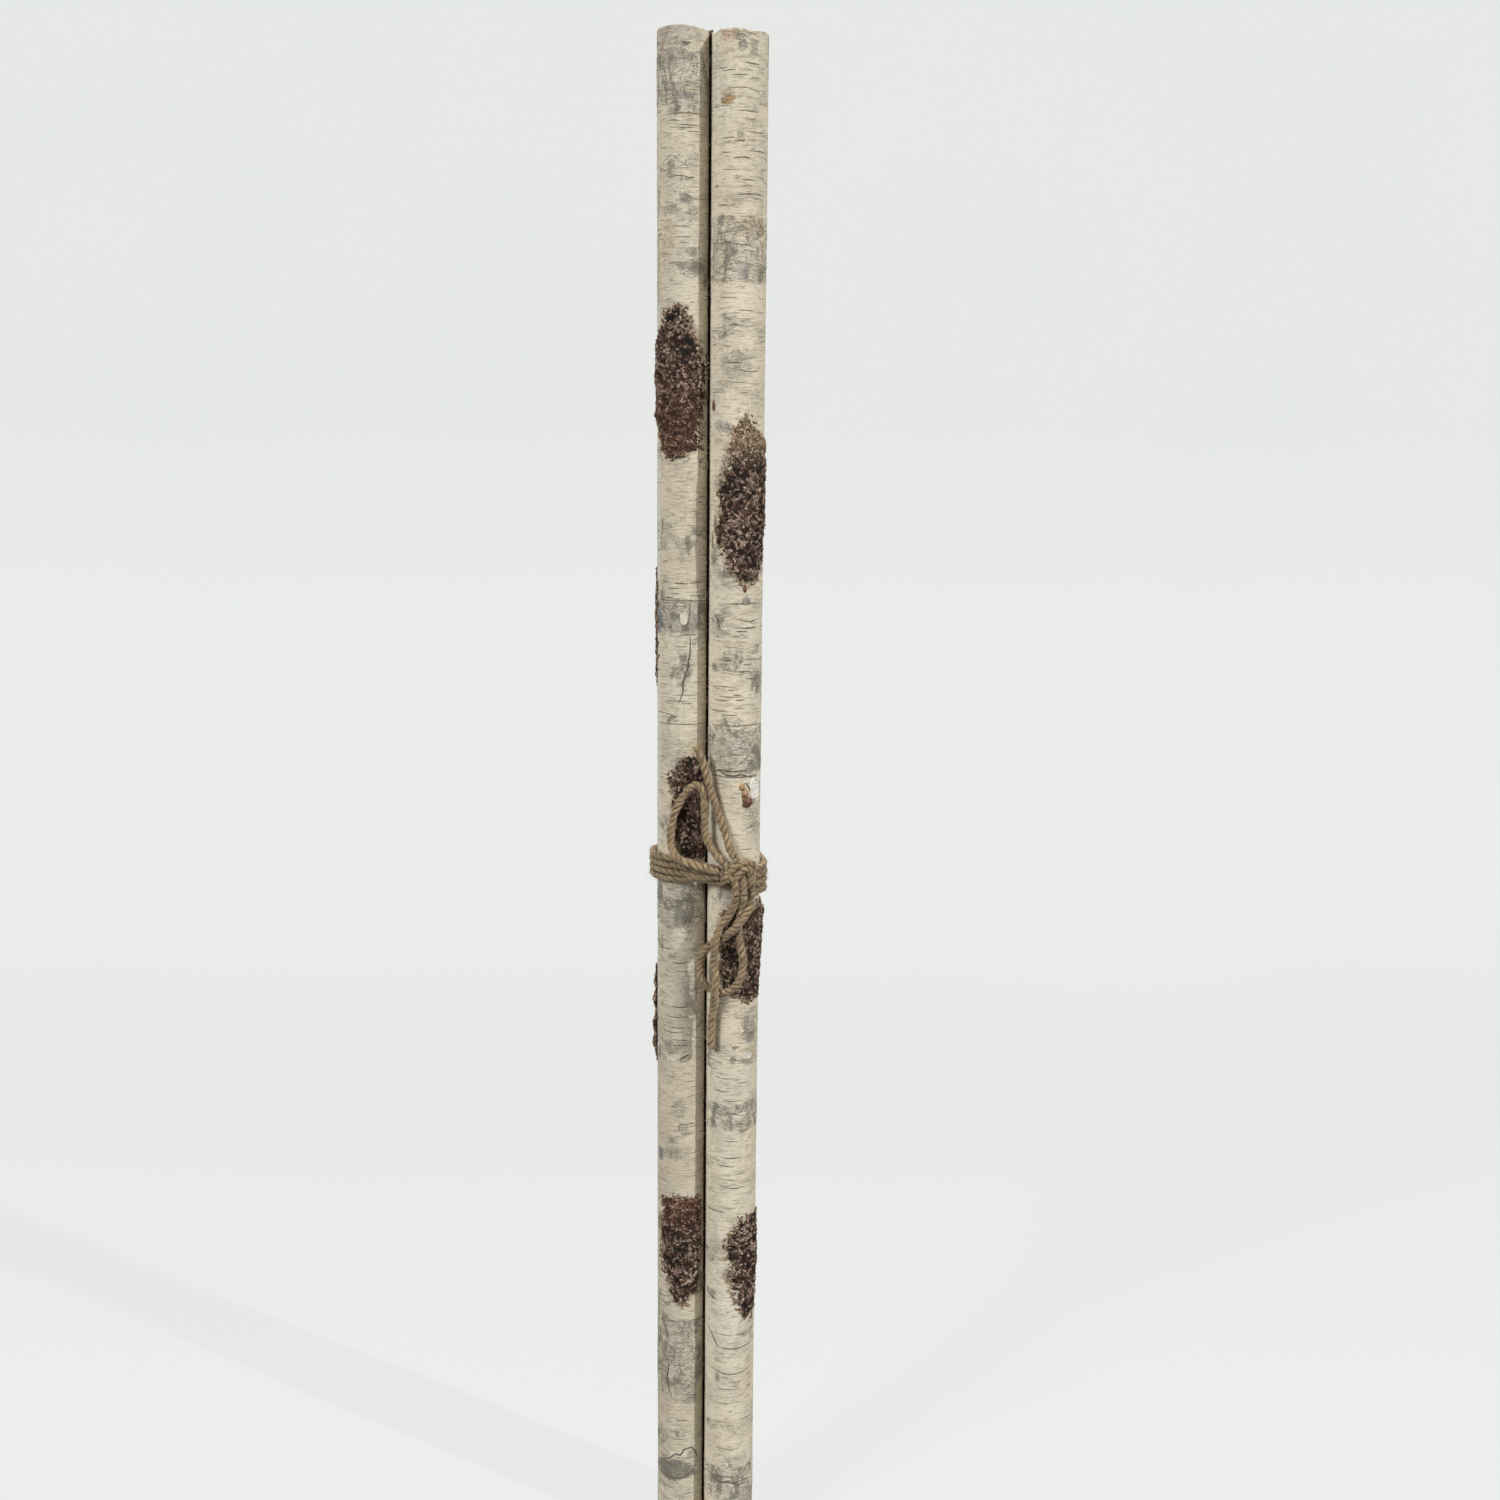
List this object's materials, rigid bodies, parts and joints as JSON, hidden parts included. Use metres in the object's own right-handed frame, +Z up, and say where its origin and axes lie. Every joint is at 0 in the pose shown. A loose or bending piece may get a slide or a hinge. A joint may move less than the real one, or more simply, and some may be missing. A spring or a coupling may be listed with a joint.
{
  "type": "birch pole bundle",
  "caption": "Upright bundle of straight birch poles with pale bark and rough dark patches, bound at half height with jute twine tied in a bow.",
  "frame": {"origin": "on the floor, under the middle of the box round the poles and the twine turns and knot", "axes": "+Z up along the poles, +X to the right and -Y towards the viewer, as seen from the side with the bow"},
  "size_m": [0.0694, 0.0759, 0.916],
  "materials": {
    "birch_bark": "matt pale birch bark with thin grey lines, grey wrinkled rings and raised patches of dark brown rough bark",
    "rough_bark": "crumbly dark brown rough bark with lighter pinkish brown grains",
    "jute_twine": "twisted natural jute of a few plies, with loose fibres"
  },
  "bodies": {
    "root": {"pole_left": "birch_bark", "pole_right": "birch_bark", "pole_back": "birch_bark", "twine_wraps": "jute_twine", "twine_knot": "jute_twine", "twine_loop_upper": "jute_twine", "twine_loop_lower": "jute_twine", "twine_tail_upper": "jute_twine", "twine_tail_lower": "jute_twine"}
  },
  "joints": []
}
